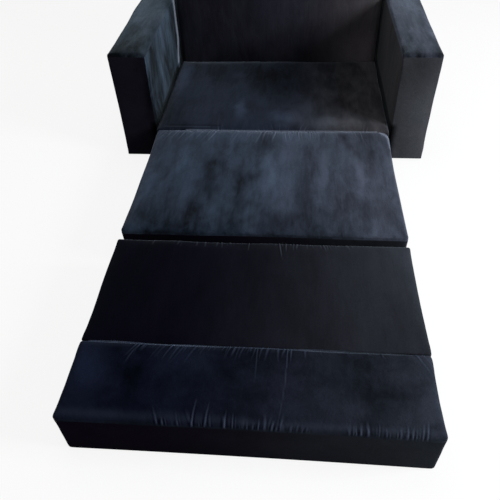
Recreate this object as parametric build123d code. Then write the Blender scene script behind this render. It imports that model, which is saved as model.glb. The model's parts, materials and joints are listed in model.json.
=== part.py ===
from build123d import *
from math import sqrt
import os

# A sofa bed, opened out as a bed. Two box arms and an upright back stand on a base board.
# The mattress is four foam blocks in velvet covers. The first lies on the board between the arms.
# The next is sewn to it along the top edge and folds up and over onto it. The third hangs on the
# second by a fabric tape along the bottom edge. The last is sewn to the third along the top edge.
# Lengths are millimetres. +Z is up, +Y points to the back, and -X is the left side from the front.
# The origin is on the floor, under the middle of the whole bed.

# Arms and back
inner_width = 914.0
arm_thickness = 140.0
arm_height = 435.0
arm_edge = 9.0
back_height = 762.0
back_thickness = 150.0
back_front_edge = 34.0
back_top_edge = 24.0

# Mattress blocks, each from its rear end to its front end
seat_length = 610.0
middle_length = 584.0
foot_length = 388.0
end_length = 216.0
block_width = 890.0
seat_width = 900.0
block_height = 150.0
crown_rise = 4.0
seat_overhang = 38.0
seat_rear_gap = 1.0
seam_gap = 2.6
hinge_gap = 34.0

# Block form
edge_round = 14.0
block_corner = 20.0
side_draw = 3.0
sewn_edge_share = 0.3
core_inset = 10.0
core_bevel = 9.0
core_cover = 3.5
base_cloth = 1.2
ring_inset_shares = (0.2, 0.0, 0.3, 1.0)
ring_height_shares = (0.0, 0.88, 0.96, 1.0)
crown_inset_share = 0.45
corner_limit_share = 0.25

# Seam allowances and hinge tape
allowance_thickness = 2.0
allowance_height = 16.0
allowance_top_gap = 2.0
tape_thickness = 1.0
tape_seat = 2.4
seam_end_gap = 24.0

# Zips
zip_length = 500.0
zip_width = 26.0
zip_tape = 1.1
zip_chain_width = 5.0
zip_chain_height = 1.4
slider_length = 12.0
slider_width = 8.0
slider_height = 2.2
pull_length = 18.0
pull_width = 5.0
pull_thickness = 1.0

# Upholstery of the frame
cover_thickness = 2.0
arm_foam = 16.0
arm_hollow_bevel = 4.0
back_foam = 60.0
back_hollow_bevel = 20.0
back_top_foam = 20.0
fit_clearance = 0.2
panel_clearance = 0.3

# Timber, plywood and webbing
board_thickness = 12.0
panel_thickness = 9.0
rear_panel_thickness = 6.0
rail_height = 45.0
post_width = 45.0
back_post_width = 45.0
back_rail_height = 60.0
timber_ease = 1.5
strap_width = 50.0
strap_thickness = 1.4
strap_shares = (0.12, 0.28, 0.44, 0.6, 0.76, 0.92)

# Glides under the board
glide_height = 5.0
glide_radius = 15.0
glide_ease = 1.5
glide_pin_radius = 1.6
glide_pin_length = 9.0
glide_edge_gap = 30.0

# Bolts, washers and T-nuts, from the back posts into the arms
bolt_radius = 4.0
bolt_hole_radius = 4.4
bolt_head_radius = 7.0
bolt_head_height = 5.3
bolt_head_sides = 6
bolt_end = 1.0
washer_radius = 9.0
washer_bore_radius = 4.2
washer_thickness = 1.6
nut_barrel_radius = 5.0
nut_bore_radius = 4.05
nut_barrel_length = 10.0
nut_flange_radius = 10.0
nut_flange_thickness = 1.5
bolt_height_shares = (0.22, 0.52, 0.8)

# Screws, from under the board into the rails
screw_radius = 2.2
screw_head_radius = 4.4
screw_head_height = 2.6
screw_length = 38.0
screw_clearance = 0.1
screw_place_shares = (0.08, 0.36, 0.64, 0.92)
back_screw_place_shares = (-0.4, 0.0, 0.4)

# Small round pieces repeat often, so they and their holes have this many sides
small_sides = 8
glide_sides = 12

# One overrun serves all cuts
overrun = 20.0

# Places along Y, from the rear to the front
mattress_length = seat_length + middle_length + foot_length + end_length
gaps_length = seat_rear_gap + 2 * seam_gap + hinge_gap
total_length = back_thickness + mattress_length + gaps_length
rear_y = total_length / 2
back_face_y = rear_y - back_thickness
seat_rear_y = back_face_y - seat_rear_gap
seat_front_y = seat_rear_y - seat_length
fold_seam_y = seat_front_y - seam_gap / 2
middle_rear_y = seat_front_y - seam_gap
middle_front_y = middle_rear_y - middle_length
hinge_y = middle_front_y - hinge_gap / 2
foot_rear_y = middle_front_y - hinge_gap
foot_front_y = foot_rear_y - foot_length
end_seam_y = foot_front_y - seam_gap / 2
end_rear_y = foot_front_y - seam_gap
end_front_y = end_rear_y - end_length
arm_front_y = seat_front_y + seat_overhang

# Places along X and Z
arm_inner_x = inner_width / 2
arm_outer_x = arm_inner_x + arm_thickness
board_bottom_z = glide_height
board_top_z = board_bottom_z + board_thickness
frame_bottom_z = board_top_z
seat_bottom_z = board_top_z
back_side_x = arm_inner_x - panel_clearance

# The arm's frame, inside its cover and foam
arm_skin = cover_thickness + arm_foam + 2 * fit_clearance
arm_frame_inner_x = arm_inner_x + arm_skin
arm_frame_outer_x = arm_outer_x - arm_skin
arm_frame_front_y = arm_front_y + arm_skin
arm_frame_rear_y = rear_y - cover_thickness - fit_clearance
arm_frame_top_z = arm_height - arm_skin
arm_post_inner_x = arm_frame_inner_x + panel_thickness
arm_post_outer_x = arm_frame_outer_x - panel_thickness

# The back's frame, behind its foam
back_strap_y = back_face_y + cover_thickness + back_foam + 2 * fit_clearance
back_post_front_y = back_strap_y + strap_thickness
back_panel_rear_y = rear_y - cover_thickness - fit_clearance
back_post_rear_y = back_panel_rear_y - rear_panel_thickness
back_post_outer_x = back_side_x - cover_thickness - fit_clearance
back_post_inner_x = back_post_outer_x - back_post_width
back_frame_top_z = back_height - cover_thickness - back_top_foam - 2 * fit_clearance
back_bolt_y = (back_post_front_y + back_post_rear_y) / 2

sides = {"left": -1, "right": 1}


def between(low, high):
    """A box from its lowest corner to its highest one."""
    size = [b - a for a, b in zip(low, high)]
    middle = [(a + b) / 2 for a, b in zip(low, high)]
    return Pos(*middle) * Box(*size)


def on_side(shape, side):
    """A shape modelled on the right, or its mirror image on the left."""
    return shape if sides[side] > 0 else mirror(shape, about=Plane.YZ)


def timber(low, high):
    """A planed length of timber, with its edges eased."""
    return chamfer(between(low, high).edges(), timber_ease)


def rod_x(x_low, x_high, y, z, radius, sides_count=small_sides):
    """A rod along X, with a few flat sides in place of a round one."""
    end = Plane(origin=(x_low, y, z), x_dir=(0, 1, 0), z_dir=(1, 0, 0))
    return extrude(end * RegularPolygon(radius, sides_count), x_high - x_low)


def rod_z(x, y, z_low, z_high, radius, sides_count=small_sides):
    """A rod along Z, with a few flat sides in place of a round one."""
    end = Plane(origin=(x, y, z_low))
    return extrude(end * RegularPolygon(radius, sides_count), z_high - z_low)


def bevelled(body, bevel):
    """A box whose upright and upper edges are bevelled."""
    upright = body.edges().filter_by(Axis.Z)
    upper = body.edges().group_by(Axis.Z)[-1]
    return chamfer(upright + upper, bevel)


def side_edge(start, end, pull):
    """One side of a ring. It bows by the vector pull, or is straight where there is none."""
    middle = tuple((a + b) / 2 + c for a, b, c in zip(start, end, pull))
    if pull == (0, 0, 0):
        return Line(start, end)
    return ThreePointArc(start, middle, end)


def ring(half_x, y_low, y_high, z, draws):
    """A rounded rectangle at height z, whose sides pull in between the corners.

    draws holds how far the sides at both X ends, the low Y end and the high Y end pull in.
    """
    side, low, high = draws
    corner = min(block_corner, (y_high - y_low) * corner_limit_share)
    cut = corner * (1 - sqrt(0.5))
    a = (corner - half_x, y_low, z)
    b = (half_x - corner, y_low, z)
    c = (half_x, y_low + corner, z)
    d = (half_x, y_high - corner, z)
    e = (half_x - corner, y_high, z)
    f = (corner - half_x, y_high, z)
    g = (-half_x, y_high - corner, z)
    h = (-half_x, y_low + corner, z)
    return Wire([
        side_edge(a, b, (0, low, 0)),
        ThreePointArc(b, (half_x - cut, y_low + cut, z), c),
        side_edge(c, d, (-side, 0, 0)),
        ThreePointArc(d, (half_x - cut, y_high - cut, z), e),
        side_edge(e, f, (0, -high, 0)),
        ThreePointArc(f, (cut - half_x, y_high - cut, z), g),
        side_edge(g, h, (side, 0, 0)),
        ThreePointArc(h, (cut - half_x, y_low + cut, z), a),
    ])


class Block:
    """One mattress block: its ends along Y, its underside, its width, and its sewn ends."""

    def __init__(self, name, width, y_front, y_rear, z_low, sewn_front, sewn_rear, zip_end):
        self.name = name
        self.width = width
        self.y_front = y_front
        self.y_rear = y_rear
        self.z_low = z_low
        self.sewn_front = sewn_front
        self.sewn_rear = sewn_rear
        self.zip_end = zip_end

    def draws(self, share):
        """How far each side pulls in. A sewn end stays straight."""
        front = 0 if self.sewn_front else side_draw * share
        rear = 0 if self.sewn_rear else side_draw * share
        return side_draw * share, front, rear

    def edge_ring(self, height_share, inset_share):
        """A ring of the block's walls and rounded edges."""
        inset = edge_round * inset_share
        front = inset * (sewn_edge_share if self.sewn_front else 1)
        rear = inset * (sewn_edge_share if self.sewn_rear else 1)
        z = self.z_low + (block_height - self.z_low) * height_share
        draws = self.draws(1)
        return ring(self.width / 2 - inset, self.y_front + front, self.y_rear - rear, z, draws)

    def crown_ring(self):
        """The ring round the top of the shallow crown."""
        half = min(self.width, self.y_rear - self.y_front) / 2
        inset = edge_round + (half - edge_round) * crown_inset_share
        z = block_height + crown_rise
        draws = self.draws(1 - crown_inset_share)
        return ring(self.width / 2 - inset, self.y_front + inset, self.y_rear - inset, z, draws)

    def form(self):
        """The outer form: walls that pull in between the corners, rounded edges and a crown."""
        rings = [self.edge_ring(*shares) for shares in zip(ring_height_shares, ring_inset_shares)]
        return Solid.make_loft(rings + [self.crown_ring()], ruled=True)

    def core(self, clearance):
        """The foam core, or with a clearance the space that the cover leaves for it."""
        half_x = self.width / 2 - core_inset + clearance
        low = (-half_x, self.y_front + core_inset - clearance, self.z_low + base_cloth)
        top = block_height - core_cover + clearance
        high = (half_x, self.y_rear - core_inset + clearance, top)
        return bevelled(between(low, high), core_bevel + clearance)

    def foam(self):
        """The foam core, just clear of the base cloth under it."""
        body = self.core(0)
        box = body.bounding_box()
        skim = between((box.min.X - overrun, box.min.Y - overrun, box.min.Z - overrun),
                       (box.max.X + overrun, box.max.Y + overrun, box.min.Z + fit_clearance))
        return body - skim

    def base(self, clearance):
        """The base cloth, or with a clearance the mouth that the cover leaves for it."""
        half_x = self.width / 2 - core_inset + clearance
        low = (-half_x, self.y_front + core_inset - clearance, self.z_low)
        high = (half_x, self.y_rear - core_inset + clearance, self.z_low + base_cloth)
        body = between(low, high)
        return chamfer(body.edges().filter_by(Axis.Z), core_bevel + clearance)

    def cover(self):
        """The velvet cover: the outer form, hollow for the core and the base cloth."""
        return self.form() - self.core(fit_clearance) - self.base(fit_clearance) - self.zip_pocket()

    def zip_face(self):
        """Where the zip's end of the block has its face in the middle, and which way it looks."""
        if self.zip_end == "front":
            return self.y_front + self.draws(1)[1], -1
        return self.y_rear - self.draws(1)[2], 1

    def zip_box(self, length, width, depth_low, depth_high, x=0):
        """A box on the zip's face. Depths count from the zip's seat outwards."""
        face, out = self.zip_face()
        seat = face - out * (zip_tape + slider_height + fit_clearance)
        ends = sorted((seat + out * depth_low, seat + out * depth_high))
        z = self.z_low + (block_height - self.z_low) / 2
        return between((x - length / 2, ends[0], z - width / 2),
                       (x + length / 2, ends[1], z + width / 2))

    def zip_pocket(self):
        """The recess that holds the zip."""
        grown = 2 * fit_clearance
        return self.zip_box(zip_length + grown, zip_width + grown, 0, overrun)

    def closed_zip(self):
        """The closed zip: its tapes in one strip, its pull, its slider and its chain, in a row."""
        face = fit_clearance + zip_tape
        pull_x = (pull_length - zip_length) / 2
        slider_x = pull_x + (pull_length + slider_length) / 2
        chain_length = zip_length - pull_length - 2 * slider_length
        chain_x = slider_x + (slider_length + chain_length) / 2
        return Compound(children=[
            self.zip_box(zip_length, zip_width, fit_clearance, face),
            self.zip_box(pull_length, pull_width, face, face + pull_thickness, pull_x),
            self.zip_box(slider_length, slider_width, face, face + slider_height, slider_x),
            self.zip_box(chain_length, zip_chain_width, face, face + zip_chain_height, chain_x),
        ])


blocks = [
    Block("seat", seat_width, seat_front_y, seat_rear_y, seat_bottom_z, True, False, "rear"),
    Block("middle", block_width, middle_front_y, middle_rear_y, 0, False, True, "front"),
    Block("foot", block_width, foot_front_y, foot_rear_y, 0, True, False, "rear"),
    Block("end", block_width, end_front_y, end_rear_y, 0, False, True, "rear"),
]


def seam_allowance(seam_y):
    """The two seam allowances, sewn together, that hang between two blocks under their seam."""
    half_x = block_width / 2 - seam_end_gap
    top = block_height - allowance_top_gap
    return between((-half_x, seam_y - allowance_thickness / 2, top - allowance_height),
                   (half_x, seam_y + allowance_thickness / 2, top))


def hinge_tape(block_end_y, toward_block):
    """One half of the tape on the floor, from the hinge line to its seat under a block's edge."""
    half_x = block_width / 2 - seam_end_gap
    start = hinge_y + toward_block * panel_clearance / 2
    end = block_end_y + toward_block * tape_seat
    low, high = sorted((start, end))
    return between((-half_x, low, 0), (half_x, high, tape_thickness))


def board_space(clearance):
    """The base board's outline, or with a clearance the room that covers leave for it."""
    inset = cover_thickness + fit_clearance - clearance
    half_x = arm_outer_x - inset
    return between((-half_x, arm_front_y + inset, board_bottom_z - clearance),
                   (half_x, rear_y - inset, board_top_z + clearance))


def glide_places():
    """The middle of each glide under the board."""
    front = arm_front_y + glide_edge_gap
    rear = rear_y - glide_edge_gap
    outer = arm_outer_x - glide_edge_gap
    inner = arm_inner_x + glide_edge_gap
    return [(x * s, y) for s in sides.values() for x in (inner, outer) for y in (front, rear)]


def glide(x, y):
    """A moulded glide: a disc with eased edges and a pin driven up into the board."""
    disc = rod_z(x, y, 0, glide_height, glide_radius, glide_sides)
    disc = chamfer(disc.edges().group_by(Axis.Z)[0], glide_ease)
    pin = rod_z(x, y, glide_height, glide_height + glide_pin_length, glide_pin_radius)
    return disc + pin


def screw_places():
    """The middle of each screw: four in each arm's bottom rail and three in the back's."""
    rail_x = (arm_post_inner_x + arm_post_outer_x) / 2
    length = arm_frame_rear_y - arm_frame_front_y
    places = [(rail_x * s, arm_frame_front_y + length * share)
              for s in sides.values() for share in screw_place_shares]
    back = [(inner_width * share, back_bolt_y) for share in back_screw_place_shares]
    return places + back


def screw(x, y, clearance=0):
    """A countersunk screw from the board's underside, or with a clearance the hole for it."""
    low = board_bottom_z
    shank = rod_z(x, y, low, low + screw_length + clearance, screw_radius + clearance)
    wide = Plane(origin=(x, y, low)) * RegularPolygon(screw_head_radius + clearance, small_sides)
    narrow = Plane(origin=(x, y, low + screw_head_height)) * RegularPolygon(
        screw_radius + clearance, small_sides)
    return shank + loft([wide, narrow], ruled=True)


def base_board():
    """The plywood board under the arms, the back and the first block."""
    board = board_space(0)
    for x, y in glide_places():
        pin_top = glide_height + glide_pin_length + fit_clearance
        board -= rod_z(x, y, 0, pin_top, glide_pin_radius + screw_clearance)
    for x, y in screw_places():
        board -= screw(x, y, screw_clearance)
    return board


def bolt_heights():
    """How high the bolts between the back and the arms lie."""
    height = arm_frame_top_z - frame_bottom_z
    return [frame_bottom_z + height * share for share in bolt_height_shares]


def bolt_holes():
    """Every clearance hole on the right side that a bolt passes through."""
    low = back_post_inner_x - overrun
    high = arm_post_outer_x + overrun
    return [rod_x(low, high, back_bolt_y, z, bolt_hole_radius) for z in bolt_heights()]


def drilled(shape):
    """A shape on the right side with the bolts' holes through it."""
    for hole in bolt_holes():
        shape -= hole
    return shape


def bolts():
    """Bolts on the right side: a hexagon head and a shank that ends in its T-nut."""
    made = []
    head_x = back_post_inner_x - washer_thickness
    for z in bolt_heights():
        shank = rod_x(head_x, arm_post_outer_x - bolt_end, back_bolt_y, z, bolt_radius)
        head = Plane(origin=(head_x, back_bolt_y, z), x_dir=(0, 1, 0), z_dir=(-1, 0, 0))
        head = extrude(head * RegularPolygon(bolt_head_radius, bolt_head_sides), bolt_head_height)
        made.append(shank + head)
    return made


def washers():
    """Washers on the right side, between each head and its post."""
    low = back_post_inner_x - washer_thickness
    return [rod_x(low, back_post_inner_x, back_bolt_y, z, washer_radius)
            - rod_x(low, back_post_inner_x, back_bolt_y, z, washer_bore_radius)
            for z in bolt_heights()]


def nut_form(z, clearance):
    """A T-nut's flange and barrel, or with a clearance the recess for them."""
    flange_low = arm_post_outer_x - nut_flange_thickness - clearance
    barrel_low = flange_low - nut_barrel_length
    flange = rod_x(flange_low, arm_post_outer_x, back_bolt_y, z, nut_flange_radius + clearance)
    barrel = rod_x(barrel_low, flange_low, back_bolt_y, z, nut_barrel_radius + clearance)
    return flange + barrel


def t_nuts():
    """T-nuts on the right side, let into the outer face of the arm's rear post."""
    low = arm_post_inner_x
    return [nut_form(z, 0) - rod_x(low, arm_post_outer_x + overrun, back_bolt_y, z, nut_bore_radius)
            for z in bolt_heights()]


def both_sides(shapes):
    """A group of equal pieces, on the right and mirrored on the left."""
    return Compound(children=[on_side(shape, side) for side in sides for shape in shapes])


def arm_block(inset):
    """The arm's upright block, drawn in by an inset on every side but the bottom."""
    return between((arm_inner_x + inset, arm_front_y + inset, board_bottom_z),
                   (arm_outer_x - inset, rear_y - inset, arm_height - inset))


def arm_hollow(inset):
    """The arm's block drawn in, with bevels that follow the cover's rounded edges."""
    return bevelled(arm_block(inset), arm_hollow_bevel)


def arm_cover():
    """The arm's velvet cover, open at the bottom, cut where the board passes through."""
    body = arm_block(0)
    upright = body.edges().filter_by(Axis.Z)
    upper = body.edges().group_by(Axis.Z)[-1]
    body = fillet(upright + upper, arm_edge)
    return drilled(body - arm_hollow(cover_thickness) - board_space(fit_clearance))


def arm_foam_wrap():
    """Foam over the arm's top, front and both sides. The rear end and the bottom have none."""
    low = (arm_inner_x, arm_front_y, board_bottom_z - overrun)
    high = (arm_outer_x, rear_y, board_top_z)
    body = arm_hollow(cover_thickness + fit_clearance) - between(low, high)
    inset = cover_thickness + arm_foam + fit_clearance
    hollow_low = (arm_inner_x + inset, arm_front_y + inset, 0)
    hollow_high = (arm_outer_x - inset, rear_y + overrun, arm_height - inset)
    return drilled(body - between(hollow_low, hollow_high))


def arm_panel(x_low, x_high):
    """One of the plywood panels that close an arm's frame."""
    return between((x_low, arm_frame_front_y, frame_bottom_z),
                   (x_high, arm_frame_rear_y, arm_frame_top_z))


def arm_rail(z_low):
    """A rail along the whole of an arm's frame."""
    return timber((arm_post_inner_x, arm_frame_front_y, z_low),
                  (arm_post_outer_x, arm_frame_rear_y, z_low + rail_height))


def arm_bottom_rail():
    """The rail that is screwed to the board."""
    rail = arm_rail(frame_bottom_z)
    for x, y in screw_places():
        rail -= screw(x, y, screw_clearance)
    return rail


def arm_post(y_low, y_high):
    """An upright between the bottom rail and the top rail."""
    return timber((arm_post_inner_x, y_low, frame_bottom_z + rail_height),
                  (arm_post_outer_x, y_high, arm_frame_top_z - rail_height))


def arm_rear_post():
    """The rear upright, which the bolts pass through into their T-nuts."""
    half = post_width / 2
    post = drilled(arm_post(back_bolt_y - half, back_bolt_y + half))
    for z in bolt_heights():
        post -= nut_form(z, fit_clearance)
    return post


def arm_pieces():
    """Every piece of the right arm, by name."""
    return {
        "front_post": arm_post(arm_frame_front_y, arm_frame_front_y + post_width),
        "rear_post": arm_rear_post(),
        "top_rail": arm_rail(arm_frame_top_z - rail_height),
        "bottom_rail": arm_bottom_rail(),
        "inner_panel": drilled(arm_panel(arm_frame_inner_x, arm_post_inner_x)),
        "outer_panel": arm_panel(arm_post_outer_x, arm_frame_outer_x),
        "foam_wrap": arm_foam_wrap(),
        "cover": arm_cover(),
    }


def back_block(inset, z_low):
    """The back's upright block, drawn in by an inset on every side but the bottom."""
    side = back_side_x - inset
    return between((-side, back_face_y + inset, z_low), (side, rear_y - inset, back_height - inset))


def back_hollow(inset, z_low):
    """The back's block drawn in, with bevels that follow the cover's rounded edges."""
    body = back_block(inset, z_low)
    front = body.edges().filter_by(Axis.Z).group_by(Axis.Y)[0]
    upper = body.edges().group_by(Axis.Z)[-1]
    return chamfer(front + upper, back_hollow_bevel)


def back_form():
    """The back's outer form: large rounds on the front's upright edges, smaller ones on top."""
    body = back_block(0, board_bottom_z)
    body = fillet(body.edges().filter_by(Axis.Z).group_by(Axis.Y)[0], back_front_edge)
    return fillet(body.edges().group_by(Axis.Z)[-1], back_top_edge)


def back_cover():
    """The back's velvet cover, open at the bottom, cut where the board passes through."""
    cover = back_form() - back_hollow(cover_thickness, board_bottom_z)
    cover -= board_space(fit_clearance)
    low = (-back_side_x, back_face_y - overrun, 0)
    high = (back_side_x, back_post_rear_y, board_top_z + fit_clearance)
    cover -= between(low, high)
    cover = drilled(cover)
    return mirror(drilled(mirror(cover, about=Plane.YZ)), about=Plane.YZ)


def back_pad():
    """The back's foam: a slab in front of the webbing, with a lip over the top rail."""
    body = back_hollow(cover_thickness + fit_clearance, frame_bottom_z + fit_clearance)
    side = back_side_x + overrun
    behind = between((-side, back_strap_y - fit_clearance, 0),
                     (side, rear_y + overrun, back_frame_top_z + fit_clearance))
    return body - behind


def back_post():
    """An upright of the back, on the right side."""
    return drilled(timber((back_post_inner_x, back_post_front_y, frame_bottom_z),
                          (back_post_outer_x, back_post_rear_y, back_frame_top_z)))


def back_rail(z_low):
    """A rail between the back's two posts."""
    return timber((-back_post_inner_x, back_post_front_y, z_low),
                  (back_post_inner_x, back_post_rear_y, z_low + back_rail_height))


def back_bottom_rail():
    """The rail that is screwed to the board."""
    rail = back_rail(frame_bottom_z)
    for x, y in screw_places():
        rail -= screw(x, y, screw_clearance)
    return rail


def back_straps():
    """Elastic webbing, stretched across the fronts of the posts."""
    height = back_frame_top_z - frame_bottom_z
    half_x = back_post_outer_x
    half_z = strap_width / 2
    middles = [frame_bottom_z + height * share for share in strap_shares]
    return Compound(children=[
        between((-half_x, back_strap_y, z - half_z), (half_x, back_post_front_y, z + half_z))
        for z in middles])


def back_rear_panel():
    """The plywood panel on the back's rear."""
    return between((-back_post_outer_x, back_post_rear_y, frame_bottom_z),
                   (back_post_outer_x, back_panel_rear_y, back_frame_top_z))


def frame_pieces():
    """The board, its glides, the back and the fasteners, by node name."""
    return {
        "base_board": base_board(),
        "base_glides": Compound(children=[glide(x, y) for x, y in glide_places()]),
        "board_screws": Compound(children=[screw(x, y) for x, y in screw_places()]),
        "back_left_post": on_side(back_post(), "left"),
        "back_right_post": back_post(),
        "back_top_rail": back_rail(back_frame_top_z - back_rail_height),
        "back_middle_rail": back_rail(arm_height),
        "back_bottom_rail": back_bottom_rail(),
        "back_webbing": back_straps(),
        "back_rear_panel": back_rear_panel(),
        "back_foam_pad": back_pad(),
        "back_cover": back_cover(),
        "frame_bolts": both_sides(bolts()),
        "frame_washers": both_sides(washers()),
        "frame_t_nuts": both_sides(t_nuts()),
    }


def block_pieces(block):
    """Every piece of one mattress block, by node name."""
    return {
        block.name + "_foam": block.foam(),
        block.name + "_cover": block.cover(),
        block.name + "_base_cloth": block.base(0),
        block.name + "_zip": block.closed_zip(),
    }


def sewn_pieces():
    """The seam allowances and the two halves of the hinge tape, by node name."""
    return {
        "seat_seam_allowance": seam_allowance(fold_seam_y),
        "foot_seam_allowance": seam_allowance(end_seam_y),
        "middle_hinge_tape": hinge_tape(middle_front_y, 1),
        "foot_hinge_tape": hinge_tape(foot_rear_y, -1),
    }


def all_pieces():
    """Every node of the model."""
    nodes = frame_pieces()
    for name, shape in arm_pieces().items():
        for side in sides:
            nodes["arm_" + side + "_" + name] = on_side(shape, side)
    for block in blocks:
        nodes.update(block_pieces(block))
    nodes.update(sewn_pieces())
    return nodes


os.makedirs("parts", exist_ok=True)
for name, shape in all_pieces().items():
    export_step(shape, os.path.join("parts", name + ".step"))
print("total length", total_length, "arm front y", arm_front_y, "back face y", back_face_y)
print("fold seam y", fold_seam_y, "hinge y", hinge_y, "end seam y", end_seam_y)
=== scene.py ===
import json
import math
from collections import namedtuple

import bmesh
import bpy
import numpy as np
from mathutils import Matrix, Vector


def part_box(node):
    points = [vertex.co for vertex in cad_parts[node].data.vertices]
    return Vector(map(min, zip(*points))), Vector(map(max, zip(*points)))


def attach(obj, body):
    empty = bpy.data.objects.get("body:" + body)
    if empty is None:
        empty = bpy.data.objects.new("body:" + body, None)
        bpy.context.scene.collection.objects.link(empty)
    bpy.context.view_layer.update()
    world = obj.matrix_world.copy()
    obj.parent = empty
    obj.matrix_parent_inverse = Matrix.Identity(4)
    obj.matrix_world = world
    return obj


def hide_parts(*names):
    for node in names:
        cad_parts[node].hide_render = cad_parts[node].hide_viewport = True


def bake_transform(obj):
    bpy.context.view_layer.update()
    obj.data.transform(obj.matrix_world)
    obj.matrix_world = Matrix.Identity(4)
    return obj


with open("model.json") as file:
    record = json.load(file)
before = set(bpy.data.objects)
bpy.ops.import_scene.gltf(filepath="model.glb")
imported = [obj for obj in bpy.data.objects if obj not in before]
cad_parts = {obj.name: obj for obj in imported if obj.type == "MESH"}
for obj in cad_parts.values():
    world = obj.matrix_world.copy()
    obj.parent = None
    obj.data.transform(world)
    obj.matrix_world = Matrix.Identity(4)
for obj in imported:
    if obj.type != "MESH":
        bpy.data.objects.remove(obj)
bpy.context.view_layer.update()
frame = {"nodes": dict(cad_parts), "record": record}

# A sofa bed opened out as a bed, in black and navy velvet. Lengths are metres, in the frame of the
# CAD model: +Z up, +Y to the back, -X the left side from the front.

MM = 0.001

# Camera, fitted to the photograph. Its place is counted from the middle of the arms' front plane,
# and its turns are its yaw, its pitch and its roll in degrees.
camera_offset = (95 * MM, -1846 * MM, 1260 * MM)
camera_turns = (-6.229, 43.933, -2.634)
camera_lens = 38.87
camera_sensor = 36.0

# Lights. The key lamp stands on the line through the right arm's corner and that corner's shadow.
towards_key = (0.800, -0.395, 0.415)
key_distance = 3.0
key_size = 1.15
key_power = 135
top_place = (-0.3, 0.6, 3.2)
top_size = 2.5
top_power = 32
ambient = 0.34
floor_half = 9.0
floor_drop = 0.3 * MM
floor_white = 0.86

# The mattress blocks' soft forms. A swell is its height and its length, and a mesh how many rows
# of faces go down its sides, and how long its faces are.
block_edge = 13 * MM
sewn_edge = 4 * MM
block_corner = 12 * MM
sewn_corner = 34 * MM
block_crown = 5 * MM
block_draw = 2 * MM
block_swell = (1.0 * MM, 0.24)
block_mesh = (4, 16 * MM)
fold_room = 0.3 * MM
press_depth = 2.5 * MM

# The arms
arm_edge = 9 * MM
arm_corner = 5 * MM
arm_hem = 2 * MM
arm_crown = 2 * MM
arm_draw = 0.5 * MM
arm_swell = (1.2 * MM, 0.22)
arm_mesh = (24, 16 * MM)
arm_cap = 2.5 * MM

# The back
back_edge = 22 * MM
back_corner = 34 * MM
back_rear_edge = 3 * MM
back_crown = 3 * MM
back_draw = 0.5 * MM
back_swell = (1.2 * MM, 0.3)
back_mesh = (36, 20 * MM)
back_cap = 3 * MM
frame_room = 1.2 * MM
frame_swell = 0.4

# The velvet's darkest shade, as a share of its colour, and the two tints that it wanders between
darkest = 0.12
tinges = ((1.018, 0.990, 1.0), (0.982, 1.010, 1.0))

# What all covers share. The hem starts at a share of its radius, and its turn is how squarely it
# goes round the corners. The relief fades out over calm_height above the floor.
hem_radius = 2.5 * MM
hem_width = 9 * MM
hem_lip = 1.4 * MM
hem_start = 0.3
hem_turn = 1.4
calm_height = 20 * MM
arc_steps = 4

# Creases and lines in the pile, with their painted highlights and painted shade. The zone and the
# depth are where a block's mesh is made finer for them, and a fade is how far below the top they
# end, and how far they are full.
crease_zone = 60 * MM
crease_depth = 20 * MM
crease_start = 20 * MM
crease_fade = (22 * MM, 9 * MM)
line_fade = (30 * MM, 12 * MM)

# How a block's cover is pressed in for its zip
zip_gap = 0.1 * MM
zip_edge = 3 * MM
zip_reach = 12 * MM

# The arms' painted light and shade. The inner faces get painted shade beside the seat's top, and the front
# edge gets painted shade.
# The left one has a painted highlight, a bright upright line, and painted shade behind it.
inner_fade = (30 * MM, 5 * MM)
seat_shade = 0.9
seat_fade = (8 * MM, -4 * MM)
edge_shade = 0.35
edge_shade_width = 12 * MM
glint_y = 0.80
glint_width = 24 * MM
glint_gain = 1.25
glint_lean = 45 * MM
glint_heights = (0.16, 0.28)
glint_shade = 0.5
glint_shade_ys = (0.70, 0.76)

# Seams: a groove is its width and its depth, and seam_profile is half a seam's, in millimetres
arm_front_seam = 2.5 * MM
block_groove = (2.2 * MM, 0.6 * MM)
arm_front_groove = (2.5 * MM, 0.9 * MM)
arm_top_groove = (2.5 * MM, 0.6 * MM)
seam_profile = ((6.5, 0.4), (3.6, 0.2), (2.2, 0.3), (1.2, 0.9), (0.5, 1.6), (0, 1.8))
seam_depth = 2.5 * MM
stitch_pitch = 5 * MM
stitch_step = 1.25 * MM
stitch_height = 0.25 * MM

# The hinge tape and the base cloths
tape_rows = 19
tape_step = 8 * MM
base_columns = 45
base_step = 20 * MM
base_lift = 0.7 * MM
base_swell = 0.25 * MM
base_swell_length = 0.09

# Cloth settling
settle_frames = 14
cloth_settings = dict(quality=4, mass=0.3, tension_stiffness=12, compression_stiffness=12, shear_stiffness=6,
                      bending_stiffness=0.4, use_pressure=True, uniform_pressure_force=2.5, shrink_min=-0.006)
settle_cap = 3.5 * MM
tight_share = 0.15
tight_reach = 25 * MM

# The bodies that the mattress blocks ride on
bodies = {"seat": "sofa_frame", "middle": "middle_section", "foot": "foot_section", "end": "end_section"}


def node_box(name):
    """The lowest and highest corner of a CAD node, as numpy arrays."""
    low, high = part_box(name)
    return np.array(low), np.array(high)


def ease(value, low, high):
    """0 below low and 1 above high, with a smooth rise between."""
    t = np.clip((value - low) / (high - low), 0, 1)
    return t * t * (3 - 2 * t)


def spaced(low, high, edge_low, edge_high, step):
    """Places from low to high: round both edges in short steps, and evenly between them."""
    turns = 1 - np.cos(np.linspace(0, math.pi / 2, arc_steps))
    inner_low, inner_high = low + edge_low, high - edge_high
    count = max(1, round((inner_high - inner_low) / step))
    middle = np.linspace(inner_low, inner_high, count + 1)
    return np.concatenate([low + edge_low * turns[:-1], middle, (high - edge_high * turns[:-1])[::-1]])


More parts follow.
